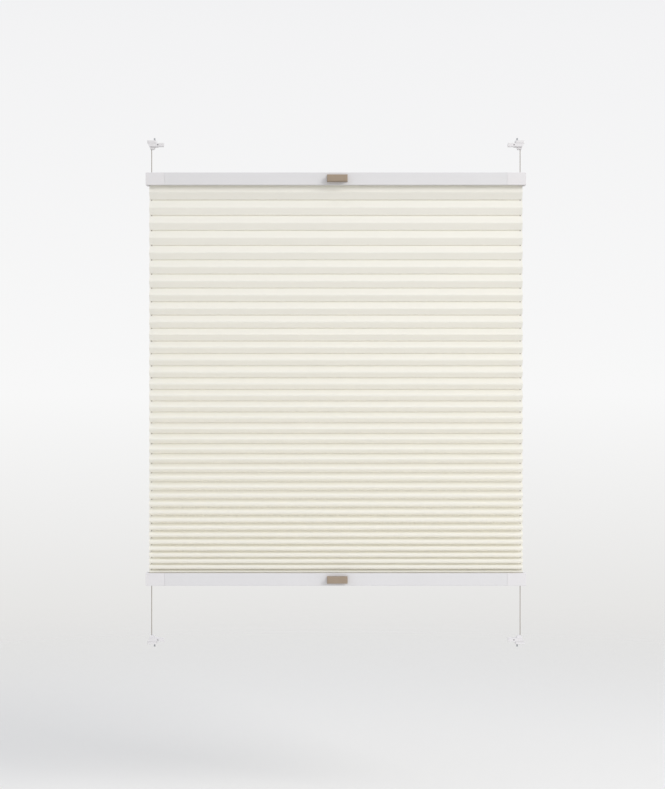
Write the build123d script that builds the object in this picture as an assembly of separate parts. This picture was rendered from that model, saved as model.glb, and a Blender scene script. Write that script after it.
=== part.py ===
from build123d import *

import os
from math import pi, sqrt

# A pleated blind stretched on two cords inside a window recess. Two rails slide on the
# cords, and one folded sheet of fabric hangs between them.
# Millimetres. +X is to the right, +Y goes into the window and +Z is up. The origin is
# the middle of the recess's width and height, and half way between the front of the
# handles and the back of the rails.

# ---- overall sizes ----
recess_height = 884.0  # between the feet of the upper and the lower shoes
rail_length = 666.0  # with both end caps
upper_gap = 57.0  # from the top of the recess down to the upper rail
lower_gap = 103.4  # from the bottom of the recess up to the lower rail

# ---- rails ----
rail_depth = 24.0
rail_height = 22.0
rail_wall = 1.2
rail_corner = 0.8
channel_height = 7.6  # of the space that holds the fabric strip
slot_width = 12.0  # of the mouth that the fabric leaves through

# ---- end caps ----
cap_length = 33.0
cap_wall = 2.0
cap_end_wall = 4.0
cap_collar = 4.0  # thick ring behind the joint with the profile
cap_edge = 0.6
seam = 0.2  # open joint between a cap and the profile
spigot_length = 18.0
spigot_wall = 1.4
spigot_clearance = 0.15

# ---- cords and what guides them ----
cord_diameter = 1.2
cord_inset = 9.0  # from the end of a rail to a standing cord
cord_set_back = 4.0  # from the middle of a rail's depth back to the cords
guide_clearance = 0.6  # round a standing cord where a rail slides on it
crossing_offset = 1.5  # of each crossing cord from the standing cords, front or back
crossing_step = 1.0  # of a crossing cord's end from the standing cord, inwards
pin_diameter = 3.0
pin_seat = 1.2  # depth of the blind seat in the front wall of a cap
pin_clearance = 0.05
pin_wrap_clearance = 0.1  # between a pin and the cord that turns round it
cord_end_clearance = 0.2

# ---- fabric and the strips that hold its ends ----
fabric_side_gap = 5.5  # from the end of a rail to the edge of the fabric
fabric_thickness = 0.3
pleat_leg = 20.0  # from one crease to the next
valley_count = 36  # back creases in sight
first_ridge_drop = 10.1  # from the upper rail to the first front crease
first_valley_drop = 23.9  # from the upper rail to the first back crease
last_valley_rise = 6.1  # from the lower rail to the last back crease
pitch_ratio = 2.69  # the topmost pleat against the lowest one, opened by its load
hole_to_valley = 4.0  # along a leg, from its back crease to the cord
tab_length = 3.0  # the end of the fabric that stands inside a rail
fabric_hole_clearance = 0.9  # round a cord in the fabric
strip_thickness = 2.6
strip_clearance = 0.2
strip_side_clearance = 0.5
strip_groove = 1.0
strip_groove_depth = 1.8

# ---- handles ----
handle_length = 35.9
handle_height = 12.0
handle_projection = 13.0
handle_flange = 1.6
handle_neck = 7.0
handle_lip = 4.0
handle_offset = 2.4  # to the right of the middle
handle_taper = 1.0  # slope from the neck out to the flange and to the lip
handle_corner = 1.2
peg_diameter = 3.0
peg_spacing = 20.0
peg_clearance = 0.1
peg_reach = 0.8  # past the wall of the rail

# ---- shoes ----
shoe_depth = 16.0
foot_thickness = 4.4
foot_outer = 7.0  # from the cord towards the side of the recess
foot_inner = 9.0
foot_corner = 2.0
clip_gap = 0.2  # between a foot and its clip
clip_height = 6.0
clip_outer_at_foot = 6.4
clip_outer_at_face = 3.6
clip_inner = 22.0  # the end of the release tab
tab_start = 11.0  # the full depth of the clip ends here
tab_depth = 9.0
nose_height = 4.6
nose_outer = 3.0
nose_inner = 6.0
nose_depth = 11.0
nose_taper = 1.0
release_hole_diameter = 2.2
shoe_edge = 0.5
cord_hole_clearance = 0.4
stopper_diameter = 4.4
stopper_height = 3.2
stopper_edge = 0.4
stopper_clearance = 0.3
pocket_floor = 1.0
post_thickness = 1.6
post_length = 6.0
post_height = 3.4
post_inset = 2.0  # from the front or back of a shoe to a snap post
post_clearance = 0.15
screw_offset = 5.2  # from the cord inwards
screw_diameter = 2.9
screw_length = 9.5
screw_head_diameter = 5.2
screw_head_height = 1.5
screw_clearance = 0.15
recess_square = 1.4  # square drive in the screw head
recess_square_depth = 0.8

# ---- places that follow from them ----
cord_radius = cord_diameter / 2
cord_x = rail_length / 2 - cord_inset
rail_y = handle_projection / 2  # puts the origin half way through the depth
cord_y = rail_y + cord_set_back
top = recess_height / 2
upper_rail_top = top - upper_gap
lower_rail_bottom = -top + lower_gap
upper_fabric_end = upper_rail_top - rail_height
lower_fabric_end = lower_rail_bottom + rail_height
fabric_drop = upper_fabric_end - lower_fabric_end
fabric_width = rail_length - 2 * fabric_side_gap
front_length = pleat_leg - hole_to_valley  # of a leg, from the cord to its front crease

chamber_floor = rail_height - rail_wall - channel_height - rail_wall
channel_roof = chamber_floor + rail_wall
channel_floor = rail_height - rail_wall
run_level = (cap_wall + chamber_floor) / 2  # depth of the crossing cords in a rail
bend_radius = pin_diameter / 2 + cord_radius + pin_wrap_clearance
crossing_x = cord_x - crossing_step


# ---- rails ----
# A rail is built with its outer face at z = 0 and its fabric side at -rail_height, and
# the middle of its depth at y = 0. The lower rail is the upper one's mirror image.
def block(x0, x1, y0, y1, z0, z1):
    """A box between two values on each axis."""
    size = (x1 - x0, y1 - y0, z1 - z0)
    middle = ((x0 + x1) / 2, (y0 + y1) / 2, (z0 + z1) / 2)
    return Pos(*middle) * Box(*size)


def rail_blank(x0, x1):
    """A solid length of the rail's outer section."""
    outline = Pos(0, -rail_height / 2) * RectangleRounded(rail_depth, rail_height, rail_corner)
    return Pos(x0, 0, 0) * extrude(Plane.YZ * outline, amount=x1 - x0)


def fabric_channel(x0, x1):
    """The space that holds the fabric strip, with its mouth towards the fabric."""
    half = rail_depth / 2 - rail_wall
    space = block(x0, x1, -half, half, -channel_floor, -channel_roof)
    mouth = block(x0, x1, -slot_width / 2, slot_width / 2, -rail_height, -channel_floor)
    return space + mouth


def rail_profile():
    """The extruded aluminium profile, with the two holes for the handle's pegs."""
    end = rail_length / 2 - cap_length - seam
    half = rail_depth / 2 - rail_wall
    chamber = block(-end, end, -half, half, -chamber_floor, -rail_wall)
    profile = rail_blank(-end, end) - chamber - fabric_channel(-end, end)
    hole_radius = peg_diameter / 2 + peg_clearance
    for x in peg_places():
        hole = Pos(x, -rail_depth / 2, -rail_height / 2 + peg_lift()) * Rot(90, 0, 0)
        profile -= hole * Cylinder(hole_radius, 2 * rail_wall + peg_clearance)
    return profile


def end_cap():
    """The moulded cap on the right end, with the cord's way through it."""
    inner = rail_length / 2 - cap_length
    outer = rail_length / 2
    cap = rail_blank(inner, outer)
    cap = fillet(cap.faces().sort_by(Axis.X)[-1].edges(), cap_edge)
    cap -= fabric_channel(inner, outer - cap_end_wall)
    half = rail_depth / 2 - cap_wall
    cap -= block(inner + cap_collar, outer - cap_end_wall, -half, half, -chamber_floor, -cap_wall)

    spigot_half = rail_depth / 2 - rail_wall - spigot_clearance
    spigot_roof = rail_wall + spigot_clearance
    spigot_floor = chamber_floor - spigot_clearance
    start = inner - seam - spigot_length
    cap += block(start, inner, -spigot_half, spigot_half, -spigot_floor, -spigot_roof)
    bore_half = spigot_half - spigot_wall
    bore_floor = spigot_floor - spigot_wall
    bore_roof = spigot_roof + spigot_wall
    cap -= block(start, inner + cap_collar, -bore_half, bore_half, -bore_floor, -bore_roof)

    guide = Cylinder(cord_radius + guide_clearance, rail_height)
    cap -= Pos(cord_x, cord_set_back, -rail_height / 2) * guide
    for pin_level in pin_levels():
        cap -= guide_pin(pin_level, pin_clearance, through=True)
    return cap


def pin_levels():
    """Depths of the two pins in a cap, above and below the crossing cords."""
    return (run_level - bend_radius, run_level + bend_radius)


def guide_pin(level, growth=0.0, through=False):
    """A pin that turns a crossing cord, pushed in from the back; grown, it's its seat."""
    front = -(rail_depth / 2 - cap_wall) - pin_seat - growth
    back = rail_depth / 2 + (growth if through else -cord_end_clearance)
    length = back - front
    x = crossing_x - bend_radius
    pin = Cylinder(pin_diameter / 2 + growth, length)
    return Pos(x, (front + back) / 2, -level) * Rot(90, 0, 0) * pin


def guide_pins():
    """The four pins of a rail."""
    right = [guide_pin(level) for level in pin_levels()]
    left = [mirror(pin, about=Plane.YZ) for pin in right]
    return Compound(children=right + left)


def crossing_cord(side):
    """A cord's run through a rail, in at the outer face of one end and out at the other.

    The cord with side -1 enters at the left and lies in front; +1 enters at the right.
    """
    y = cord_set_back + side * crossing_offset
    inlet = side * crossing_x
    entry = cap_wall + cord_end_clearance
    leave = chamber_floor - cord_end_clearance
    points = [(inlet, y, -entry), (inlet, y, -run_level), (-inlet, y, -run_level), (-inlet, y, -leave)]
    path = FilletPolyline(*points, radius=bend_radius)
    section = Plane(origin=path @ 0, z_dir=path % 0) * Circle(cord_radius)
    cord = sweep(section, path=path)
    expected = pi * cord_radius**2 * path.length
    print(f"crossing cord: bends of {bend_radius:.2f} mm, {path.length:.1f} mm long,")
    print(f"  volume {cord.volume:.2f} mm3 against {expected:.2f} mm3")
    return cord


def fabric_strip():
    """The strip in a rail's channel, grooved for the end of the fabric."""
    half_length = fabric_width / 2 - strip_side_clearance
    half_width = rail_depth / 2 - rail_wall - strip_side_clearance
    low = channel_floor - strip_clearance
    strip = block(-half_length, half_length, -half_width, half_width, -low, -low + strip_thickness)
    groove_half = strip_groove / 2
    strip -= block(-half_length, half_length, -groove_half, groove_half, -low, -low + strip_groove_depth)
    for x in (-cord_x, cord_x):
        hole = Cylinder(cord_radius + fabric_hole_clearance, 2 * strip_thickness)
        strip -= Pos(x, cord_set_back, -low) * hole
    return strip


def peg_places():
    """Where the handle's two pegs stand along the rail."""
    return (handle_offset - peg_spacing / 2, handle_offset + peg_spacing / 2)


def peg_lift():
    """How far the pegs stand above the rail's middle, so that they open into the chamber."""
    return rail_height / 2 - (rail_wall + chamber_floor) / 2


def handle():
    """The finger grip on the front of a rail, pegged into its wall."""
    front = -rail_depth / 2
    middle = -rail_height / 2
    half = handle_height / 2
    neck = handle_neck / 2
    lip_back = handle_projection - handle_lip
    outline = Polyline(
        (0, half),
        (-handle_flange, half),
        (-handle_flange - handle_taper, neck),
        (-lip_back + handle_taper, neck),
        (-lip_back, half),
        (-handle_projection, half),
        (-handle_projection, -half),
        (-lip_back, -half),
        (-lip_back + handle_taper, -neck),
        (-handle_flange - handle_taper, -neck),
        (-handle_flange, -half),
        (0, -half),
        close=True,
    )
    section = Plane.YZ * make_face(outline)
    grip = extrude(section, amount=handle_length / 2, both=True)
    grip = fillet(grip.faces().sort_by(Axis.Y)[0].edges(), handle_corner)
    grip = Pos(handle_offset, front, middle) * grip
    for x in peg_places():
        length = rail_wall + peg_reach + handle_flange
        peg = Pos(x, front - handle_flange + length / 2, middle + peg_lift()) * Rot(90, 0, 0)
        grip += peg * Cylinder(peg_diameter / 2, length)
    return grip


# ---- fabric ----
def creases():
    """The fabric's line from inside the upper rail to inside the lower one.

    Each crease is (y, z), with the cords at y = 0. The cords pass each leg at the same
    distance from its back crease.
    """
    pitches = valley_count - 1
    span = fabric_drop - first_valley_drop - last_valley_rise
    mean = span / pitches
    top_pitch = 2 * pitch_ratio / (1 + pitch_ratio) * mean
    step = 2 * (top_pitch - mean) / (pitches - 1)
    first_ridge = upper_fabric_end - first_ridge_drop
    valley = upper_fabric_end - first_valley_drop
    lean = leg_lean(2 * (first_ridge - valley))
    line = [
        (-cord_set_back, upper_fabric_end + tab_length),
        (-cord_set_back, upper_fabric_end),
        (-front_length * lean, first_ridge),
    ]
    for number in range(pitches):
        pitch = top_pitch - number * step
        lean = leg_lean(pitch)
        line += [(hole_to_valley * lean, valley), (-front_length * lean, valley - pitch / 2)]
        valley -= pitch
    line += [
        (hole_to_valley * lean, valley),
        (-cord_set_back, lower_fabric_end),
        (-cord_set_back, lower_fabric_end - tab_length),
    ]
    return line


def leg_lean(pitch):
    """How much of a leg's length runs front to back, in a pleat opened to this pitch."""
    return sqrt(1 - (pitch / 2 / pleat_leg) ** 2)


def leg_direction(line, end):
    """The direction of the leg that ends at this crease."""
    return (line[end] - line[end - 1]).normalized()


def pleated_fabric():
    """The folded sheet, with a cord's hole through each leg near both edges."""
    line = [Vector(y, z) for y, z in creases()]
    last = len(line) - 1
    front, back = [], []
    for index, point in enumerate(line):
        before = leg_direction(line, max(index, 1))
        after = leg_direction(line, min(index + 1, last))
        normal = Vector(-(before + after).Y, (before + after).X).normalized()
        leg_normal = Vector(-after.Y, after.X)
        offset = normal * (fabric_thickness / 2 / normal.dot(leg_normal))
        front.append(point + offset)
        back.append(point - offset)
    outline = Polyline(*front, *reversed(back), close=True)
    sheet = extrude(Plane.YZ * make_face(outline), amount=fabric_width / 2, both=True)
    for x in (-cord_x, cord_x):
        middle = (upper_fabric_end + lower_fabric_end) / 2
        hole = Cylinder(cord_radius + fabric_hole_clearance, fabric_drop + 4 * tab_length)
        sheet -= Pos(x, 0, middle) * hole
    return sheet


# ---- shoes ----
# A shoe is built as the upper left one, with its foot face at z = 0, the cord on the Z
# axis and +X towards the middle of the window. The other three are its mirror images.
def snap_post(side, growth=0.0):
    """A post on a foot that its clip snaps over, at the front or the back; grown, its slot."""
    middle = side * (shoe_depth / 2 - post_inset - post_thickness / 2)
    thick = post_thickness / 2 + growth
    long = post_length / 2 + growth
    low = -foot_thickness - post_height - growth
    x = screw_offset - post_length / 2 + long
    return block(x - long, x + long, middle - thick, middle + thick, low, -foot_thickness + growth)


def shoe_foot():
    """The plate that is screwed to the recess."""
    plate = block(-foot_outer, foot_inner, -shoe_depth / 2, shoe_depth / 2, -foot_thickness, 0)
    plate = fillet(plate.edges().filter_by(Axis.Z), foot_corner)
    for side in (-1, 1):
        plate += snap_post(side)
    plate -= screw_shape(screw_clearance)
    return plate


def screw_shape(growth=0.0):
    """The countersunk screw's body without its drive; grown, it's the hole for it."""
    shank = Cylinder(screw_diameter / 2 + growth, screw_length - screw_head_height)
    head_face = -foot_thickness
    taper_top = head_face + screw_head_height
    shank_middle = taper_top + (screw_length - screw_head_height) / 2
    head = Cone(screw_head_diameter / 2 + growth, screw_diameter / 2 + growth, screw_head_height)
    place = Pos(screw_offset, 0, head_face + screw_head_height / 2)
    return place * head + Pos(screw_offset, 0, shank_middle) * shank


def shoe_screw():
    """A countersunk screw with a square drive."""
    drive = Box(recess_square, recess_square, recess_square_depth)
    return screw_shape() - Pos(screw_offset, 0, -foot_thickness + recess_square_depth / 2) * drive


def shoe_clip():
    """The part that snaps over the foot and holds the end of the cord."""
    roof = -foot_thickness - clip_gap
    face = roof - clip_height
    half = shoe_depth / 2
    outline = Polyline(
        (-clip_outer_at_foot, roof),
        (tab_start, roof),
        (tab_start, face),
        (-clip_outer_at_face, face),
        close=True,
    )
    body = extrude(Plane.XZ * make_face(outline), amount=half, both=True)
    body += block(tab_start, clip_inner, -half, -half + tab_depth, face, roof)
    body = fillet(body.edges().filter_by(Axis.Z), shoe_edge)
    hole = Pos(tab_start + shoe_edge, -half, (roof + face) / 2) * Rot(90, 0, 0)
    body -= hole * Cylinder(release_hole_diameter / 2, tab_depth)

    nose_middle = (nose_inner - nose_outer) / 2
    root = Pos(nose_middle, 0, face) * Rectangle(nose_inner + nose_outer, nose_depth)
    tip_size = (nose_inner + nose_outer - 2 * nose_taper, nose_depth - 2 * nose_taper)
    tip = Pos(nose_middle, 0, face - nose_height) * Rectangle(*tip_size)
    body += loft([root, tip])

    stopper_seat = face + pocket_floor
    pocket_height = roof - stopper_seat
    pocket = Cylinder(stopper_diameter / 2 + stopper_clearance, pocket_height)
    body -= Pos(0, 0, stopper_seat + pocket_height / 2) * pocket
    body -= Pos(0, 0, face) * Cylinder(cord_radius + cord_hole_clearance, 2 * nose_height + clip_height)
    for side in (-1, 1):
        body -= snap_post(side, post_clearance)
    return body


def stopper_top():
    """Depth, below the foot face, of a stopper's seat in the clip."""
    return foot_thickness + clip_gap + clip_height - pocket_floor


def cord_stopper():
    """The bead crimped on the end of a cord, seated in the clip."""
    bead = Cylinder(stopper_diameter / 2, stopper_height)
    bead = fillet(bead.edges(), stopper_edge)
    return Pos(0, 0, -stopper_top() + stopper_height / 2) * bead


def standing_cord():
    """The straight run of cord from an upper stopper to the lower one."""
    length = recess_height - 2 * stopper_top()
    return Cylinder(cord_radius, length)


# ---- placing and writing the nodes ----
def on_rail(part, row):
    """Moves a rail's part to the upper or the lower rail."""
    if row == "upper":
        return Pos(0, rail_y, upper_rail_top) * part
    return Pos(0, rail_y, lower_rail_bottom) * mirror(part, about=Plane.XY)


def at_corner(part, row, side):
    """Moves a shoe's part to one of the four corners."""
    if side == "right":
        part = mirror(part, about=Plane.YZ)
    if row == "lower":
        part = mirror(part, about=Plane.XY)
    x = cord_x if side == "right" else -cord_x
    z = top if row == "upper" else -top
    return Pos(x, cord_y, z) * part


ROWS = ("upper", "lower")
SIDES = ("left", "right")


def all_nodes():
    """Every node of the blind by name."""
    nodes = {}
    cap = end_cap()
    caps = {"right": cap, "left": mirror(cap, about=Plane.YZ)}
    for row in ROWS:
        nodes[f"{row}_rail_profile"] = on_rail(rail_profile(), row)
        nodes[f"{row}_rail_fabric_strip"] = on_rail(fabric_strip(), row)
        nodes[f"{row}_rail_handle"] = on_rail(handle(), row)
        nodes[f"{row}_rail_guide_pins"] = on_rail(guide_pins(), row)
        nodes[f"{row}_rail_front_cord"] = on_rail(crossing_cord(-1), row)
        nodes[f"{row}_rail_back_cord"] = on_rail(crossing_cord(1), row)
        for side in SIDES:
            nodes[f"{row}_rail_{side}_cap"] = on_rail(caps[side], row)
            nodes[f"{row}_{side}_shoe_foot"] = at_corner(shoe_foot(), row, side)
            nodes[f"{row}_{side}_shoe_clip"] = at_corner(shoe_clip(), row, side)
    corners = [(row, side) for row in ROWS for side in SIDES]
    nodes["shoe_screws"] = Compound(children=[at_corner(shoe_screw(), *c) for c in corners])
    nodes["cord_stoppers"] = Compound(children=[at_corner(cord_stopper(), *c) for c in corners])
    nodes["left_standing_cord"] = Pos(-cord_x, cord_y, 0) * standing_cord()
    nodes["right_standing_cord"] = Pos(cord_x, cord_y, 0) * standing_cord()
    nodes["pleated_fabric"] = Pos(0, cord_y, 0) * pleated_fabric()
    return nodes


os.makedirs("parts", exist_ok=True)
for name, part in all_nodes().items():
    export_step(part, f"parts/{name}.step")
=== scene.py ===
"""A pleated blind stretched on two cords, dressed and lit as it hangs in its recess.

Metres. +X is to the right, +Y goes into the window and +Z is up.
"""

import logging
import math
from dataclasses import dataclass, field
from enum import Enum
from typing import Any

import bpy
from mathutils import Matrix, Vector


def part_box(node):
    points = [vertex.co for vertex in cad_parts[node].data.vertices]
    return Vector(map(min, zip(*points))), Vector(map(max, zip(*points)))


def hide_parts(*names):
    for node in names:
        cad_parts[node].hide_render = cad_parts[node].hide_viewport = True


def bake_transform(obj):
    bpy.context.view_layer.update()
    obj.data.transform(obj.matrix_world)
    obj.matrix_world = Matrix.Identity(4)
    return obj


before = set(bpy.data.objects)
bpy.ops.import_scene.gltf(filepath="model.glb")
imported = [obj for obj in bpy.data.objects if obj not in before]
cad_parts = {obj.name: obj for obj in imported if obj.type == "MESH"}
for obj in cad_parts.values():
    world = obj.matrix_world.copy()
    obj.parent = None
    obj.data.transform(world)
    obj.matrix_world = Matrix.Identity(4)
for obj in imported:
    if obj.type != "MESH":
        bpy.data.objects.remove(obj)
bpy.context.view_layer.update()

log = logging.getLogger("pleated_blind")

MM = 0.001
TINY = 1e-9
WAVE_REPEAT = math.pi / 10  # distance at which a wave texture of scale 1 repeats
HOLE_LINES = (-1.0, -0.5, 0.0, 0.5, 1.0)  # lines of points in the square round a cord hole
Tones = tuple[tuple[float, str], ...]
Range = tuple[float, float]


class Row(Enum):
    """The two rails, and the two rows of shoes."""

    UPPER = "upper"
    LOWER = "lower"


class Side(Enum):
    """The two ends of a rail, and the two columns of shoes."""

    LEFT = "left"
    RIGHT = "right"


# ---- shading tools ----
def linear(colour: str) -> tuple[float, float, float, float]:
    """Turns an sRGB colour into the linear one that shaders take.

    Args:
        colour: six hex digits after a hash.

    Returns:
        Red, green, blue and a full alpha.
    """
    shares = [int(colour[place : place + 2], 16) / 255 for place in (1, 3, 5)]
    red, green, blue = (
        share / 12.92 if share <= 0.04045 else ((share + 0.055) / 1.055) ** 2.4 for share in shares
    )
    return red, green, blue, 1.0


def put(
    tree: bpy.types.NodeTree,
    kind: str,
    sockets: dict[Any, Any],
    stops: Tones = (),
    **settings: Any,
) -> Any:
    """Adds one node with its settings and links.

    Args:
        tree: the node tree that it joins.
        kind: the node's type, without its common beginning.
        sockets: what each input gets, by name or number: a value, or another node's output.
        stops: places from 0 to 1 in rising order, each with the colour that it fades through.
        **settings: the node's own properties.

    Returns:
        The new node.
    """
    node = tree.nodes.new(f"ShaderNode{kind}")
    for name, value in settings.items():
        setattr(node, name, value)
    for name, value in sockets.items():
        if isinstance(value, bpy.types.NodeSocket):
            tree.links.new(value, node.inputs[name])
        else:
            node.inputs[name].default_value = value
    if stops:
        fade = node.color_ramp.elements
        for place, _ in stops[1:-1]:
            fade.new(place)
        for stop, (_, colour) in zip(fade, stops):
            stop.color = linear(colour)
    return node


def blank(name: str) -> tuple[bpy.types.Material, bpy.types.NodeTree]:
    """Starts an empty material.

    Args:
        name: what the material is called.

    Returns:
        The material and its node tree.
    """
    material = bpy.data.materials.new(name)
    material.use_nodes = True
    material.node_tree.nodes.clear()
    return material, material.node_tree


# ---- finishes ----
@dataclass(frozen=True)
class PowderCoat:
    """Polyester powder baked on extruded aluminium: a skin that ripples like orange peel.

    The eye sees a cool white with a broad soft gloss that breaks up a little along the rail.
    """

    name: str = "powder_coated_aluminium"
    tones: Tones = ((0.0, "#DAD9DB"), (1.0, "#DEDDDF"))
    roughness: Range = (0.34, 0.46)
    ior: float = 1.5
    peel: float = 1.6 * MM  # across one ripple
    peel_detail: float = 1.0
    peel_depth: float = 0.012 * MM
    peel_strength: float = 0.35
    drift: float = 55 * MM  # along the rail, from one tone to the next
    drift_detail: float = 3.0

    def make(self) -> bpy.types.Material:
        """Makes the material from two sizes of noise.

        Returns:
            The new material.
        """
        material, tree = blank(self.name)
        place = put(tree, "TexCoord", {}).outputs["Object"]
        drift = put(
            tree,
            "TexNoise",
            {"Vector": place, "Scale": 1 / self.drift, "Detail": self.drift_detail},
        ).outputs["Fac"]
        peel = put(
            tree,
            "TexNoise",
            {"Vector": place, "Scale": 1 / self.peel, "Detail": self.peel_detail},
        ).outputs["Fac"]
        colour = put(tree, "ValToRGB", {"Fac": drift}, stops=self.tones)
        low, high = self.roughness
        gloss = put(tree, "MapRange", {"Value": drift, "To Min": low, "To Max": high})
        bump = put(
            tree,
            "Bump",
            {"Strength": self.peel_strength, "Distance": self.peel_depth, "Height": peel},
        )
        skin = put(
            tree,
            "BsdfPrincipled",
            {
                "Base Color": colour.outputs["Color"],
                "Roughness": gloss.outputs["Result"],
                "IOR": self.ior,
                "Normal": bump.outputs["Normal"],
            },
        )
        put(tree, "OutputMaterial", {"Surface": skin.outputs["BSDF"]})
        return material


@dataclass(frozen=True)
class FormedPlastic:
    """Plastic shaped hot: ABS from a spark-eroded mould, or PVC from the die of an extruder.

    The eye sees a fine even grain that takes the shine off, edges that the tool rounds by a
    few tenths of a millimetre, and a faint cloudiness where the melt flowed.
    """

    name: str
    tones: Tones
    roughness: Range = (0.42, 0.52)
    ior: float = 1.54
    grain: float = 0.45 * MM  # across one pit of the tool's skin
    grain_depth: float = 0.02 * MM
    grain_strength: float = 0.4
    flow: float = 14 * MM  # across one cloud
    detail: float = 2.0
    edge: float = 0.25 * MM
    edge_samples: int = 4

    def make(self) -> bpy.types.Material:
        """Makes the material from the tool's grain and the melt's clouds.

        Returns:
            The new material.
        """
        material, tree = blank(self.name)
        place = put(tree, "TexCoord", {}).outputs["Object"]
        flow = put(
            tree,
            "TexNoise",
            {"Vector": place, "Scale": 1 / self.flow, "Detail": self.detail},
        ).outputs["Fac"]
        grain = put(
            tree,
            "TexNoise",
            {"Vector": place, "Scale": 1 / self.grain, "Detail": self.detail},
        ).outputs["Fac"]
        colour = put(tree, "ValToRGB", {"Fac": flow}, stops=self.tones)
        low, high = self.roughness
        gloss = put(tree, "MapRange", {"Value": grain, "To Min": low, "To Max": high})
        edge = put(tree, "Bevel", {"Radius": self.edge}, samples=self.edge_samples)
        bump = put(
            tree,
            "Bump",
            {
                "Strength": self.grain_strength,
                "Distance": self.grain_depth,
                "Height": grain,
                "Normal": edge.outputs["Normal"],
            },
        )
        skin = put(
            tree,
            "BsdfPrincipled",
            {
                "Base Color": colour.outputs["Color"],
                "Roughness": gloss.outputs["Result"],
                "IOR": self.ior,
                "Normal": bump.outputs["Normal"],
            },
        )
        put(tree, "OutputMaterial", {"Surface": skin.outputs["BSDF"]})
        return material


# The colours that the plastics are dyed in.
WHITE: Tones = ((0.0, "#DEDCDE"), (1.0, "#E2E0E2"))
TAUPE: Tones = ((0.0, "#978674"), (1.0, "#9F8E7C"))
UNDYED: Tones = ((0.0, "#D2D0C8"), (1.0, "#DAD8D0"))


@dataclass(frozen=True)
class ZincPlate:
    """Zinc on drawn steel: a bluish bright metal, drawn along the piece and a little cloudy."""

    name: str = "zinc_plated_steel"
    tones: Tones = ((0.0, "#A2A4A8"), (1.0, "#B4B6B9"))
    roughness: Range = (0.24, 0.38)
    cloud: float = 2.5 * MM
    cloud_detail: float = 3.0

    def make(self) -> bpy.types.Material:
        """Makes the material from one cloudy noise.

        Returns:
            The new material.
        """
        material, tree = blank(self.name)
        place = put(tree, "TexCoord", {}).outputs["Object"]
        cloud = put(
            tree,
            "TexNoise",
            {"Vector": place, "Scale": 1 / self.cloud, "Detail": self.cloud_detail},
        ).outputs["Fac"]
        colour = put(tree, "ValToRGB", {"Fac": cloud}, stops=self.tones)
        low, high = self.roughness
        gloss = put(tree, "MapRange", {"Value": cloud, "To Min": low, "To Max": high})
        skin = put(
            tree,
            "BsdfPrincipled",
            {
                "Base Color": colour.outputs["Color"],
                "Metallic": 1.0,
                "Roughness": gloss.outputs["Result"],
            },
        )
        put(tree, "OutputMaterial", {"Surface": skin.outputs["BSDF"]})
        return material


@dataclass(frozen=True)
class BraidedCord:
    """Polyester yarn braided over a core.

    The eye sees slanting plaits with thin dark gaps and a dull sheen. The plaits are drawn
    about twice as coarse as real ones, or they would not show at all.
    """

    name: str = "braided_polyester"
    tones: Tones = ((0.0, "#7F7467"), (1.0, "#AB9F92"))
    plait: float = 1.0 * MM
    plait_slants: tuple[float, float] = (math.radians(40), math.radians(25))
    plait_depth: float = 0.08 * MM
    plait_strength: float = 0.8
    roughness: float = 0.8
    sheen: float = 0.3

    def make(self) -> bpy.types.Material:
        """Makes the material from two sets of slanting bands.

        Returns:
            The new material.
        """
        material, tree = blank(self.name)
        place = put(tree, "TexCoord", {}).outputs["Object"]
        bands = []
        for turn in (1, -1):
            tilt = (0.0, turn * self.plait_slants[0], turn * self.plait_slants[1])
            slanting = put(tree, "Mapping", {"Vector": place, "Rotation": tilt})
            band = put(
                tree,
                "TexWave",
                {"Vector": slanting.outputs["Vector"], "Scale": WAVE_REPEAT / self.plait},
                bands_direction="Z",
            )
            bands.append(band.outputs["Fac"])
        plait = put(tree, "Math", {0: bands[0], 1: bands[1]}, operation="MULTIPLY").outputs[0]
        colour = put(tree, "ValToRGB", {"Fac": plait}, stops=self.tones)
        bump = put(
            tree,
            "Bump",
            {"Strength": self.plait_strength, "Distance": self.plait_depth, "Height": plait},
        )
        yarn = put(
            tree,
            "BsdfPrincipled",
            {
                "Base Color": colour.outputs["Color"],
                "Roughness": self.roughness,
                "Sheen Weight": self.sheen,
                "Normal": bump.outputs["Normal"],
            },
        )
        put(tree, "OutputMaterial", {"Surface": yarn.outputs["BSDF"]})
        return material


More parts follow.
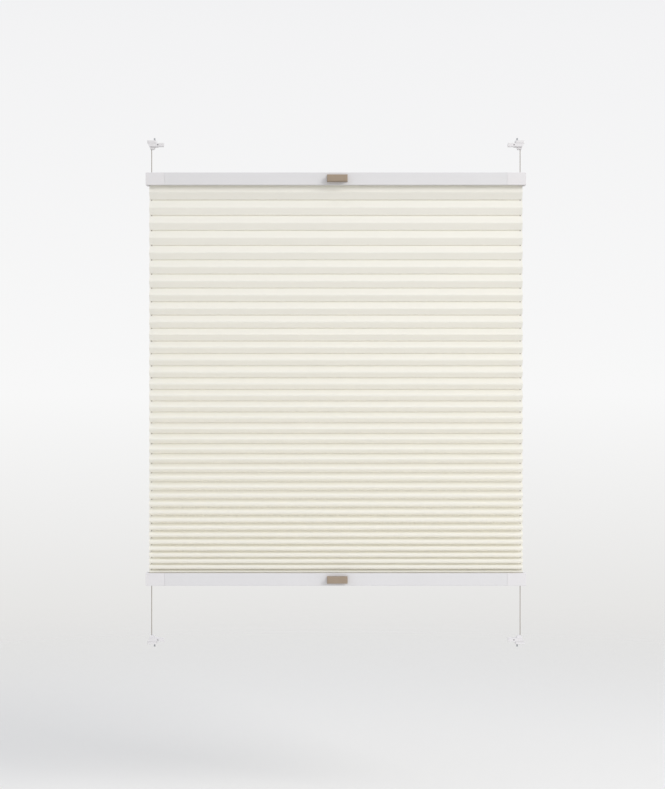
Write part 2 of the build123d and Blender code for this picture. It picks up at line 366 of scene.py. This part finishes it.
@dataclass(frozen=True)
class PleatCloth:
    """Plain-woven polyester, stiffened and pressed into pleats.

    The eye sees a matte ivory that lets daylight through, thin threads both ways, and longer
    thick places in the weft that run across the blind. The threads are drawn at twice their
    real spacing, because at the real one they would not show.
    """

    name: str = "pressed_polyester_cloth"
    tones: Tones = ((0.0, "#F6F5EF"), (1.0, "#FAF9F4"))
    glow: str = "#FAF6EA"
    uv_map: str = "cloth"
    thread: float = 0.9 * MM
    thread_wander: float = 0.6  # how far a thread strays from its line
    slub_length: float = 60 * MM
    slub_width: float = 1.4 * MM
    slub_detail: float = 3.0
    weave_depth: float = 0.05 * MM
    weave_strength: float = 0.3
    roughness: Range = (0.78, 0.92)
    sheen: float = 0.2
    passing: float = 0.4  # share of the light that goes through

    def make(self) -> bpy.types.Material:
        """Makes the material from the sheet's flat coordinates.

        Returns:
            The new material.
        """
        material, tree = blank(self.name)
        flat = put(tree, "UVMap", {}, uv_map=self.uv_map).outputs["UV"]
        thread = {
            "Vector": flat,
            "Scale": WAVE_REPEAT / self.thread,
            "Distortion": self.thread_wander,
        }
        warp, weft = (
            put(tree, "TexWave", thread, bands_direction=direction).outputs["Fac"]
            for direction in ("X", "Y")
        )
        weave = put(tree, "Math", {0: warp, 1: weft}, operation="MULTIPLY").outputs[0]
        stretch = (1 / self.slub_length, 1 / self.slub_width, 1.0)
        along = put(tree, "Mapping", {"Vector": flat, "Scale": stretch}).outputs["Vector"]
        slub = put(
            tree,
            "TexNoise",
            {"Vector": along, "Scale": 1.0, "Detail": self.slub_detail},
        ).outputs["Fac"]
        height = put(tree, "Math", {0: weave, 1: slub}, operation="ADD").outputs[0]
        colour = put(tree, "ValToRGB", {"Fac": slub}, stops=self.tones)
        low, high = self.roughness
        gloss = put(tree, "MapRange", {"Value": slub, "To Min": low, "To Max": high})
        bump = put(
            tree,
            "Bump",
            {"Strength": self.weave_strength, "Distance": self.weave_depth, "Height": height},
        )
        front = put(
            tree,
            "BsdfPrincipled",
            {
                "Base Color": colour.outputs["Color"],
                "Roughness": gloss.outputs["Result"],
                "Sheen Weight": self.sheen,
                "Normal": bump.outputs["Normal"],
            },
        )
        through = put(tree, "BsdfTranslucent", {"Color": linear(self.glow)})
        both = put(
            tree,
            "MixShader",
            {0: self.passing, 1: front.outputs["BSDF"], 2: through.outputs["BSDF"]},
        )
        put(tree, "OutputMaterial", {"Surface": both.outputs["Shader"]})
        return material


@dataclass(frozen=True)
class StudioPaper:
    """Matte studio paper that fades out round the object, so that no edge of it shows."""

    name: str = "studio_paper"
    colour: str = "#ECEBE9"
    roughness: float = 0.95
    full_to: float = 0.6  # metres from the middle
    gone_at: float = 3.6  # metres from the middle

    def make(self) -> bpy.types.Material:
        """Makes the material, which is clear beyond its outer radius.

        Returns:
            The new material.
        """
        material, tree = blank(self.name)
        place = put(tree, "TexCoord", {}).outputs["Object"]
        radius = put(tree, "VectorMath", {0: place}, operation="LENGTH").outputs["Value"]
        fade = put(
            tree,
            "MapRange",
            {"Value": radius, "From Min": self.full_to, "From Max": self.gone_at},
            interpolation_type="SMOOTHERSTEP",
        )
        paper = put(
            tree,
            "BsdfPrincipled",
            {"Base Color": linear(self.colour), "Roughness": self.roughness},
        )
        clear = put(tree, "BsdfTransparent", {})
        both = put(
            tree,
            "MixShader",
            {0: fade.outputs["Result"], 1: paper.outputs["BSDF"], 2: clear.outputs["BSDF"]},
        )
        put(tree, "OutputMaterial", {"Surface": both.outputs["Shader"]})
        return material


def dress(node: str, material: bpy.types.Material) -> None:
    """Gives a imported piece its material.

    Args:
        node: the piece's name.
        material: what it is made of.
    """
    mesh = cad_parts[node].data
    mesh.materials.clear()
    mesh.materials.append(material)
    log.info("%s: %s", node, material.name)


# ---- sub-assemblies ----
@dataclass
class Rail:
    """One sliding rail: profile, caps, handle, fabric strip, pins and the cords inside it."""

    row: Row
    profile_finish: PowderCoat = PowderCoat()
    cap_finish: FormedPlastic = FormedPlastic("moulded_abs_cap", WHITE)
    handle_finish: FormedPlastic = FormedPlastic("moulded_abs_handle", TAUPE, (0.36, 0.46))
    strip_finish: FormedPlastic = FormedPlastic("extruded_pvc_strip", UNDYED, (0.35, 0.45))
    pin_finish: ZincPlate = ZincPlate()
    cord_finish: BraidedCord = BraidedCord()

    def dress(self) -> None:
        """Gives each piece of the rail its material."""
        start = f"{self.row.value}_rail"
        dress(f"{start}_profile", self.profile_finish.make())
        cap = self.cap_finish.make()
        for side in Side:
            dress(f"{start}_{side.value}_cap", cap)
        dress(f"{start}_handle", self.handle_finish.make())
        dress(f"{start}_fabric_strip", self.strip_finish.make())
        dress(f"{start}_guide_pins", self.pin_finish.make())
        cord = self.cord_finish.make()
        for lay in ("front", "back"):
            dress(f"{start}_{lay}_cord", cord)


@dataclass
class Shoes:
    """The four corner shoes with their screws and stoppers, and the cords between them."""

    body_finish: FormedPlastic = FormedPlastic("moulded_abs_shoe", WHITE)
    stopper_finish: FormedPlastic = FormedPlastic("moulded_abs_stopper", UNDYED, (0.3, 0.4))
    screw_finish: ZincPlate = ZincPlate("zinc_plated_screw", roughness=(0.22, 0.34))
    cord_finish: BraidedCord = BraidedCord()

    def dress(self) -> None:
        """Gives each piece its material."""
        body = self.body_finish.make()
        for row in Row:
            for side in Side:
                for piece in ("foot", "clip"):
                    dress(f"{row.value}_{side.value}_shoe_{piece}", body)
        dress("cord_stoppers", self.stopper_finish.make())
        dress("shoe_screws", self.screw_finish.make())
        cord = self.cord_finish.make()
        for side in Side:
            dress(f"{side.value}_standing_cord", cord)


class Part(Enum):
    """The two lengths of the fabric, each of which ends inside its own rail."""

    UPPER = "fabric_upper_length"
    LOWER = "fabric_lower_length"


class Fold(Enum):
    """What the cloth does at a line of its section, with the radius that it turns by."""

    END = 0.0
    BEND = 1.0 * MM
    FRONT_CREASE = 1.6 * MM
    BACK_CREASE = 0.1 * MM


@dataclass(frozen=True)
class Level:
    """One line of points across the sheet.

    Attributes:
        place: depth and height of the line.
        out: the leg's normal, as depth and height.
        flat: distance along the flat sheet.
        leg: number of the leg that it lies on.
        share: how far along its leg it lies, from 0 to 1, and 1 for the crease below it.
        step: distance from the middle of its hole, or of the leg where it has none, and 0
            for a crease.
    """

    place: tuple[float, float]
    out: tuple[float, float]
    flat: float
    leg: int
    share: float = 1.0
    step: float = 0.0


@dataclass
class SheetMesh:
    """The points and faces of one length of the sheet, as they are laid."""

    points: list[tuple[float, float, float]] = field(default_factory=list)
    flats: list[tuple[float, float]] = field(default_factory=list)
    faces: list[tuple[int, ...]] = field(default_factory=list)

    def keep(self, point: tuple[float, float, float], flat: tuple[float, float]) -> int:
        """Keeps a point.

        Args:
            point: its place.
            flat: its place on the flat sheet.

        Returns:
            Its number.
        """
        self.points.append(point)
        self.flats.append(flat)
        return len(self.points) - 1

    def piece(self, name: str, uv_map: str) -> bpy.types.Object:
        """Turns the points and faces into a piece.

        Args:
            name: what the piece is called.
            uv_map: what its flat map is called.

        Returns:
            The new piece.
        """
        mesh = bpy.data.meshes.new(name)
        mesh.from_pydata(self.points, [], self.faces)
        mesh.validate()
        flat_map = mesh.uv_layers.new(name=uv_map)
        for loop in mesh.loops:
            flat_map.data[loop.index].uv = self.flats[loop.vertex_index]
        mesh.shade_smooth()
        piece = bpy.data.objects.new(name, mesh)
        bpy.context.scene.collection.objects.link(piece)
        log.info("%s: %d faces", name, len(self.faces))
        return piece


@dataclass
class PleatedFabric:
    """The folded sheet that is held in both rails, with a hole for the cord through each leg."""

    finish: PleatCloth = PleatCloth()
    width: float = 655 * MM
    pleat_leg: float = 20 * MM  # cloth from a front crease to the next back one
    valley_count: int = 36  # back creases
    first_ridge_drop: float = 10.1 * MM  # of the first front crease below the upper rail
    first_valley_drop: float = 23.9 * MM  # of the first back crease below the upper rail
    last_valley_rise: float = 6.1 * MM  # of the last back crease above the lower rail
    pitch_ratio: float = 2.69  # of the first pleat's height to the last one's
    hole_to_valley: float = 4 * MM  # along the leg, from a cord hole to the back crease
    tab: float = 3 * MM  # of cloth inside each rail
    nose_reach: float = 2.1 * MM  # how far a back crease's pressed nose stands before the cords
    nose_height: float = 1.4 * MM  # half of the nose's opening in a pleat that is wide open
    nose_closed: float = 0.5  # share of that opening which a pleat keeps when it closes
    last_lift: float = 0.5 * MM  # of the last front crease above the lower rail
    closing: float = 0.105  # growth of a front crease's radius, as a share of the lost height
    round_steps: tuple[float, ...] = (-0.7, -0.4, 0.0, 0.4, 0.7)  # lines round a front crease
    sag: float = 0.06  # how far a pleat hangs down in front of the cords, as a share of its height
    crease_guard: float = 0.4 * MM  # from a crease's round to the next line of points
    hole_radius: float = 1.2 * MM
    hole_frame: tuple[float, float] = (2.0 * MM, 1.5 * MM)  # half the square round a hole
    long_step: float = 4.0 * MM  # between the lines of points on a leg
    columns: int = 48  # of cells, between the squares of the two cords
    bow: float = 0.25 * MM  # of a leg in its middle
    ripple: float = 0.12 * MM  # height of the cloth's ripple
    ripple_length: float = 170 * MM  # from one ripple to the next
    ripple_turn: float = 2.4  # from one leg's ripple to the next one's, in radians
    second_ripple: tuple[float, float, float] = (0.5, 0.41, 1.7)  # its height, length and turn
    split_valley: int = 9  # the lengths meet at the front crease below this back crease
    passes: int = 60  # after which a rounded crease's depth has settled
    # What follows is read from the frame or laid out from the sizes above.
    cord_x: float = field(init=False)
    cord_y: float = field(init=False)
    rail_y: float = field(init=False)
    upper_end: float = field(init=False)
    lower_end: float = field(init=False)
    split: int = field(init=False)  # number of the front crease where the lengths meet
    line: list[tuple[float, float]] = field(init=False, default_factory=list)
    folds: list[Fold] = field(init=False, default_factory=list)
    radii: list[float] = field(init=False, default_factory=list)

    def __post_init__(self) -> None:
        """Reads the rails' and cords' places and lays out the creases."""
        cord_low, cord_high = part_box("right_standing_cord")
        self.cord_x = (cord_low.x + cord_high.x) / 2
        self.cord_y = (cord_low.y + cord_high.y) / 2
        rail_low, rail_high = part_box("upper_rail_profile")
        self.rail_y = (rail_low.y + rail_high.y) / 2
        self.upper_end = rail_low.z
        self.lower_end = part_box("lower_rail_profile")[1].z
        self.lay_out()

    def lean(self, pitch: float) -> float:
        """Gives the share of a leg's length that runs front to back at this pitch."""
        return math.sqrt(1 - (pitch / 2 / self.pleat_leg) ** 2)

    def closed(self, pitch: float) -> float:
        """Gives how much lower a pleat is than the first one."""
        return 2 * (self.first_valley_drop - self.first_ridge_drop) - pitch

    def nose(self, pitch: float) -> float:
        """Gives half of the nose's opening at this pitch."""
        share = self.closed(pitch) / (pitch + self.closed(pitch))
        return self.nose_height * (1 - (1 - self.nose_closed) * share)

    def fold(self, kind: Fold, depth: float, height: float, rounder: float = 0.0) -> None:
        """Adds one line to the section.

        Args:
            kind: what the cloth does there.
            depth: how far into the window it lies.
            height: how high it lies.
            rounder: what is added to the usual radius.
        """
        self.line.append((depth, height))
        self.folds.append(kind)
        self.radii.append(kind.value + rounder)

    def forward(self, pitch: float, drop: float, radius: float) -> float:
        """Finds how far forward the legs' length lets a front crease lie.

        Args:
            pitch: height of the pleat.
            drop: how far below its nose the crease lies.
            radius: of the crease.

        Returns:
            Depth of the crease's corner.
        """
        nose_length = self.hole_to_valley * self.lean(pitch) + self.nose_reach
        cloth = self.pleat_leg - math.hypot(nose_length, self.nose(pitch))
        reach = cloth
        # A rounded crease's corner lies further forward than the cloth itself comes.
        for _ in range(self.passes):
            slope = math.asin(drop / reach)
            reach = cloth + radius * (1 / math.tan(slope) - (math.pi / 2 - slope))
        return self.cord_y - self.nose_reach - math.sqrt(reach**2 - drop**2)

    def ridge(self, pitch: float, height: float) -> None:
        """Adds a front crease, as far forward as the legs' length allows.

        Args:
            pitch: height of the pleat.
            height: how high the crease would lie if the pleat did not sag.
        """
        rounder = self.closing * self.closed(pitch)
        radius = Fold.FRONT_CREASE.value + rounder
        depth = self.forward(pitch, pitch / 2 - self.nose(pitch), radius)
        self.fold(Fold.FRONT_CREASE, depth, height - self.sag * pitch, rounder)

    def last_ridge(self, pitch: float, height: float) -> None:
        """Adds the last front crease, which lies on the lower rail.

        Args:
            pitch: height of the pleat above it.
            height: how high the last back crease lies.
        """
        mouth = height - self.sag * pitch - self.nose(pitch)
        radius = Fold.FRONT_CREASE.value
        drop = mouth - self.lower_end - self.last_lift - radius
        depth = self.forward(pitch, drop, radius)
        self.fold(Fold.FRONT_CREASE, depth, mouth - drop)

    def valley(self, pitch: float, height: float) -> None:
        """Adds a back crease, whose nose stays pressed together where it was ironed.

        Args:
            pitch: height of the pleat.
            height: how high the crease lies.
        """
        mouth = self.cord_y - self.nose_reach
        middle = height - self.sag * pitch
        opening = self.nose(pitch)
        self.fold(Fold.BEND, mouth, middle + opening)
        self.fold(Fold.BACK_CREASE, self.cord_y + self.hole_to_valley * self.lean(pitch), height)
        self.fold(Fold.BEND, mouth, middle - opening)

    def lay_out(self) -> None:
        """Lays out the folded section, from inside the upper rail to inside the lower."""
        pitches = self.valley_count - 1
        drop = self.upper_end - self.lower_end
        mean = (drop - self.first_valley_drop - self.last_valley_rise) / pitches
        top_pitch = 2 * self.pitch_ratio / (1 + self.pitch_ratio) * mean
        step = 2 * (top_pitch - mean) / (pitches - 1)
        height = self.upper_end - self.first_valley_drop
        first_pitch = 2 * (self.first_valley_drop - self.first_ridge_drop)
        self.fold(Fold.END, self.rail_y, self.upper_end + self.tab)
        self.fold(Fold.BEND, self.rail_y, self.upper_end)
        self.ridge(first_pitch, self.upper_end - self.first_ridge_drop)
        for number in range(pitches):
            pitch = top_pitch - number * step
            self.valley(pitch, height)
            if number == self.split_valley:
                self.split = len(self.line)
            self.ridge(pitch, height - pitch / 2)
            height -= pitch
        self.valley(pitch, height)
        self.last_ridge(pitch, height)
        self.fold(Fold.BEND, self.rail_y, self.lower_end + self.last_lift)
        self.fold(Fold.END, self.rail_y, self.lower_end - self.tab)

    def leg_facts(self, leg: int) -> tuple[Vector, Vector, float]:
        """Measures one leg.

        Args:
            leg: number of the leg, from the top.

        Returns:
            Its upper crease, its direction and its length, in depth and height.
        """
        start, end = Vector(self.line[leg]), Vector(self.line[leg + 1])
        return start, (end - start).normalized(), (end - start).length

    def turn(self, crease: int) -> float:
        """Gives the angle by which the sheet turns at a crease.

        Args:
            crease: number of the crease, from the top.

        Returns:
            The angle, in radians.
        """
        if self.folds[crease] is Fold.END:
            return 0.0
        return self.leg_facts(crease - 1)[1].angle(self.leg_facts(crease)[1])

    def cut_back(self, crease: int) -> float:
        """Gives how far a crease's round reaches along each of its two legs."""
        return self.radii[crease] * math.tan(self.turn(crease) / 2)

    def cloth(self, first: int, last: int) -> float:
        """Adds up the cloth between two creases, which are both sharp.

        Args:
            first: number of the upper crease.
            last: number of the lower crease.

        Returns:
            Length of the legs and of the rounds between them.
        """
        length = sum(self.leg_facts(leg)[2] for leg in range(first, last))
        for crease in range(first + 1, last):
            length += self.radii[crease] * self.turn(crease) - 2 * self.cut_back(crease)
        return length

    def hole_step(self, leg: int) -> float | None:
        """Finds where the cords pass through a leg.

        Args:
            leg: number of the leg.

        Returns:
            Distance along the leg, or None if they miss it.
        """
        start, along, _ = self.leg_facts(leg)
        before, after = start.x - self.cord_y, self.line[leg + 1][0] - self.cord_y
        return -before / along.x if before * after < 0 else None

    def leg_steps(self, start: float, end: float, hole: float | None) -> list[float]:
        """Lays the lines of points across the straight stretch of a leg.

        Args:
            start: where the stretch starts, along the leg.
            end: where it ends.
            hole: where the cords pass through it, or None if they miss it.

        Returns:
            Distances along the leg, from top to bottom.
        """
        guard = self.crease_guard
        steps = [start, end]
        if end - start > 4 * guard:  # a shorter stretch has no room for guards
            steps += [start + guard, end - guard]
        if hole is not None:
            steps += [hole + share * self.hole_frame[1] for share in HOLE_LINES]
            reach = self.hole_frame[1] + self.long_step
            while hole - reach > start + 2 * guard:
                steps.append(hole - reach)
                reach += self.long_step
            reach = self.hole_frame[1] + self.long_step
            while hole + reach < end - 2 * guard:
                steps.append(hole + reach)
                reach += self.long_step
        return sorted(steps)

    def levels(self, first: int, last: int) -> list[Level]:
        """Lays the lines of points across the sheet between two creases.

        Args:
            first: number of the upper crease.
            last: number of the lower crease.

        Returns:
            The lines from top to bottom, with each crease rounded.
        """
        done = self.cloth(0, first) if first else 0.0
        found: list[Level] = []
        for leg in range(first, last):
            start, along, length = self.leg_facts(leg)
            out = (along.y, -along.x)
            near = 0.0 if leg == first else self.cut_back(leg)
            far = 0.0 if leg == last - 1 else self.cut_back(leg + 1)
            hole = self.hole_step(leg)
            middle = length / 2 if hole is None else hole
            for step in self.leg_steps(near, length - far, hole):
                point = start + along * step
                flat = done + step - near
                found.append(Level(tuple(point), out, flat, leg, step / length, step - middle))
            done += length - near - far
            if leg < last - 1:
                found += self.crease_levels(leg, done)
                done += self.radii[leg + 1] * self.turn(leg + 1)
        return found

    def crease_levels(self, leg: int, flat: float) -> list[Level]:
        """Lays the lines of points round a crease.

        Args:
            leg: number of the leg above the crease.
            flat: distance along the flat sheet where the round starts.

        Returns:
            The lines from top to bottom.
        """
        crease = leg + 1
        radius, half = self.radii[crease], self.turn(crease) / 2
        before, after = self.leg_facts(leg)[1], self.leg_facts(crease)[1]
        inward, along = (after - before).normalized(), (before + after).normalized()
        centre = Vector(self.line[crease]) + inward * radius / math.cos(half)
        found: list[Level] = []
        for share in self.round_steps if self.folds[crease] is Fold.FRONT_CREASE else (0.0,):
            turned = share * half
            place = centre + (along * math.sin(turned) - inward * math.cos(turned)) * radius
            way = along * math.cos(turned) + inward * math.sin(turned)
            place_flat = flat + radius * half * (1 + share)
            found.append(Level(tuple(place), (way.y, -way.x), place_flat, leg))
        return found

    def across(self) -> list[float]:
        """Lays out the columns of points, with five round each cord.

        Returns:
            Distances from the middle of the sheet, left to right.
        """
        wide = self.hole_frame[0]
        inner = self.cord_x - wide
        right = [self.cord_x + share * wide for share in HOLE_LINES]
        left = [-x for x in reversed(right)]
        middle = [-inner + 2 * inner * n / self.columns for n in range(1, self.columns)]
        return [-self.width / 2, *left, *middle, *right, self.width / 2]

    def point(self, x: float, level: Level, extra: float = 0.0) -> tuple[float, float, float]:
        """Places one point of the sheet.

        Args:
            x: distance from the middle of the sheet.
            level: the line that it lies on.
            extra: distance along the leg from that line.

        Returns:
            The point, with the leg's slight bow and the cloth's ripple.
        """
        depth, height = level.place
        out_depth, out_height = level.out
        share = min(max(level.share, 0.0), 1.0)
        swell = math.sin(math.pi * share) * min(1.0, self.leg_facts(level.leg)[2] / self.pleat_leg)
        phase = level.leg * self.ripple_turn
        tall, long, turned = self.second_ripple
        wave = math.sin(2 * math.pi * x / self.ripple_length + phase)
        wave += tall * math.sin(2 * math.pi * x / (long * self.ripple_length) + turned * phase)
        offset = swell * (self.bow + self.ripple * wave)
        along_depth, along_height = -out_height, out_depth
        return (
            x,
            depth + out_depth * offset + along_depth * extra,
            height + out_height * offset + along_height * extra,
        )

    def squares(self, levels: list[Level], columns: list[float]) -> list[tuple[int, int]]:
        """Finds the squares that are left open for the cord holes.

        Args:
            levels: the lines of the sheet.
            columns: its columns.

        Returns:
            First line and first column of each square.
        """
        found: list[tuple[int, int]] = []
        for row, level in enumerate(levels):
            holed = self.hole_step(level.leg) is not None and level.share < 1
            if holed and abs(level.step + self.hole_frame[1]) < TINY:
                found += [(row, 1), (row, len(columns) - 1 - len(HOLE_LINES))]
        return found

    def build(self, part: Part) -> bpy.types.Object:
        """Builds one length of the sheet.

        Args:
            part: which length.

        Returns:
            The new piece, with a flat map of the cloth.
        """
        last_crease = len(self.line) - 1
        first, last = (0, self.split) if part is Part.UPPER else (self.split, last_crease)
        levels, columns = self.levels(first, last), self.across()
        squares = self.squares(levels, columns)
        cells = range(len(HOLE_LINES) - 1)
        inner = cells[1:]
        open_cells = {(row + a, column + b) for a in cells for b in cells for row, column in squares}
        inside = {(row + a, column + b) for a in inner for b in inner for row, column in squares}
        sheet = SheetMesh()
        grid: dict[tuple[int, int], int] = {}
        for row, level in enumerate(levels):
            for column, x in enumerate(columns):
                if (row, column) not in inside:
                    grid[row, column] = sheet.keep(self.point(x, level), (x, level.flat))
        for row in range(len(levels) - 1):
            for column in range(len(columns) - 1):
                if (row, column) not in open_cells:
                    sheet.faces.append(
                        (
                            grid[row, column],
                            grid[row + 1, column],
                            grid[row + 1, column + 1],
                            grid[row, column + 1],
                        )
                    )
        for square in squares:
            self.cut_hole(sheet, grid, levels, columns, square)
        return sheet.piece(part.value, self.finish.uv_map)

    def cut_hole(
        self,
        sheet: SheetMesh,
        grid: dict[tuple[int, int], int],
        levels: list[Level],
        columns: list[float],
        square: tuple[int, int],
    ) -> None:
        """Fills the square round a cord hole, up to the hole's round edge.

        Args:
            sheet: the mesh that the faces join.
            grid: number of each point, by line and column.
            levels: the lines of the sheet.
            columns: its columns.
            square: first line and first column of the square.
        """
        row, column = square
        cells = len(HOLE_LINES) - 1
        border = [(row + a, column) for a in range(cells)]
        border += [(row + cells, column + b) for b in range(cells)]
        border += [(row + cells - a, column + cells) for a in range(cells)]
        border += [(row, column + cells - b) for b in range(cells)]
        middle, centre = levels[row + cells // 2], columns[column + cells // 2]
        rim: list[int] = []
        for line, place in border:
            angle = math.atan2(levels[line].step, columns[place] - centre)
            x = centre + self.hole_radius * math.cos(angle)
            extra = self.hole_radius * math.sin(angle)
            rim.append(sheet.keep(self.point(x, middle, extra), (x, middle.flat + extra)))
        for now in range(len(border)):
            after = (now + 1) % len(border)
            sheet.faces.append((grid[border[now]], grid[border[after]], rim[after], rim[now]))

    def flat_length(self, part: Part) -> float:
        """Adds up the cloth in one length of the sheet.

        Args:
            part: which length.

        Returns:
            Its length when flat.
        """
        if part is Part.UPPER:
            return self.cloth(0, self.split)
        return self.cloth(self.split, len(self.line) - 1)

    def dress(self) -> None:
        """Builds both lengths, gives them their cloth and hides the imported sheet that they
        replace.
        """
        cloth = self.finish.make()
        upper = self.build(Part.UPPER)
        lower = self.build(Part.LOWER)
        for piece, part, row in ((upper, Part.UPPER, Row.UPPER), (lower, Part.LOWER, Row.LOWER)):
            piece.data.materials.append(cloth)
            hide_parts("pleated_fabric")
            self.flat_length(part)
        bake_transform(upper)
        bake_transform(lower)


# ---- studio ----
@dataclass
class Studio:
    """A pale floor below the blind, daylight from all round and one soft lamp."""

    floor_height: float = -0.75
    floor_radius: float = 4.0
    floor_turns: int = 96  # corners of its rim
    floor_finish: StudioPaper = StudioPaper()
    sky: Tones = (
        (0.0, "#66625B"),
        (0.3, "#7E7A73"),
        (0.42, "#E0DFDD"),
        (0.5, "#F8F8F8"),
        (0.6, "#F3F3F4"),
        (0.75, "#DEE0E4"),
        (1.0, "#F6F8FD"),
    )  # from straight below to straight above
    sky_strength: float = 1.0
    lamp_place: tuple[float, float, float] = (2.0, -2.2, 1.9)
    lamp_size: float = 1.3
    lamp_watts: float = 46.0
    lamp_colour: str = "#FFFDF8"

    def build(self) -> None:
        """Builds the floor, the sky and the lamp."""
        self.build_floor()
        self.build_sky()
        self.build_lamp()
        view = bpy.context.scene.view_settings
        view.view_transform = "Standard"
        view.look = "None"

    def build_floor(self) -> None:
        """Builds the round floor, which fades out towards its edge."""
        rim = [
            (self.floor_radius * math.cos(turn), self.floor_radius * math.sin(turn), 0.0)
            for turn in (2 * math.pi * n / self.floor_turns for n in range(self.floor_turns))
        ]
        mesh = bpy.data.meshes.new("floor")
        mesh.from_pydata(rim, [], [tuple(range(self.floor_turns))])
        mesh.materials.append(self.floor_finish.make())
        floor = bpy.data.objects.new("floor", mesh)
        floor.location.z = self.floor_height
        bpy.context.scene.collection.objects.link(floor)
        log.info("floor: %s", self.floor_finish.name)

    def build_sky(self) -> None:
        """Lights the scene from all round, a little more from above."""
        world = bpy.data.worlds.new("daylight")
        world.use_nodes = True
        tree = world.node_tree
        tree.nodes.clear()
        facing = put(tree, "TexCoord", {}).outputs["Generated"]
        height = put(tree, "SeparateXYZ", {"Vector": facing}).outputs["Z"]
        share = put(tree, "MapRange", {"Value": height, "From Min": -1.0, "From Max": 1.0})
        colour = put(tree, "ValToRGB", {"Fac": share.outputs["Result"]}, stops=self.sky)
        sky = put(
            tree,
            "Background",
            {"Color": colour.outputs["Color"], "Strength": self.sky_strength},
        )
        put(tree, "OutputWorld", {"Surface": sky.outputs["Background"]})
        bpy.context.scene.world = world

    def build_lamp(self) -> None:
        """Hangs the soft lamp to the right of the camera, facing the blind."""
        light = bpy.data.lights.new("soft_lamp", "AREA")
        light.shape = "SQUARE"
        light.size = self.lamp_size
        light.energy = self.lamp_watts
        light.color = linear(self.lamp_colour)[:3]
        lamp = bpy.data.objects.new("soft_lamp", light)
        lamp.location = self.lamp_place
        facing = -Vector(self.lamp_place)
        lamp.rotation_euler = facing.to_track_quat("-Z", "Y").to_euler()
        lamp.visible_camera = False
        bpy.context.scene.collection.objects.link(lamp)


@dataclass
class StudioCamera:
    """A level camera straight in front of the blind."""

    distance: float = 3.1  # from the front of the rails
    right: float = -6.0 * MM
    height: float = -3.8 * MM
    lens: float = 80.82  # millimetres
    sight: float = 50.0  # furthest that it sees, in metres

    def build(self) -> None:
        """Sets the camera up and makes it the scene's."""
        data = bpy.data.cameras.new("camera")
        data.lens = self.lens
        data.clip_end = self.sight
        camera = bpy.data.objects.new("camera", data)
        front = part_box("upper_rail_profile")[0].y
        camera.location = (self.right, front - self.distance, self.height)
        camera.rotation_euler = (math.pi / 2, 0.0, 0.0)
        bpy.context.scene.collection.objects.link(camera)
        bpy.context.scene.camera = camera


def main() -> None:
    """Builds and dresses the blind, then the studio round it."""
    logging.basicConfig(level=logging.INFO, format="%(name)s: %(message)s")
    for row in Row:
        Rail(row).dress()
    Shoes().dress()
    PleatedFabric().dress()
    Studio().build()
    StudioCamera().build()


if __name__ == "__main__":
    main()
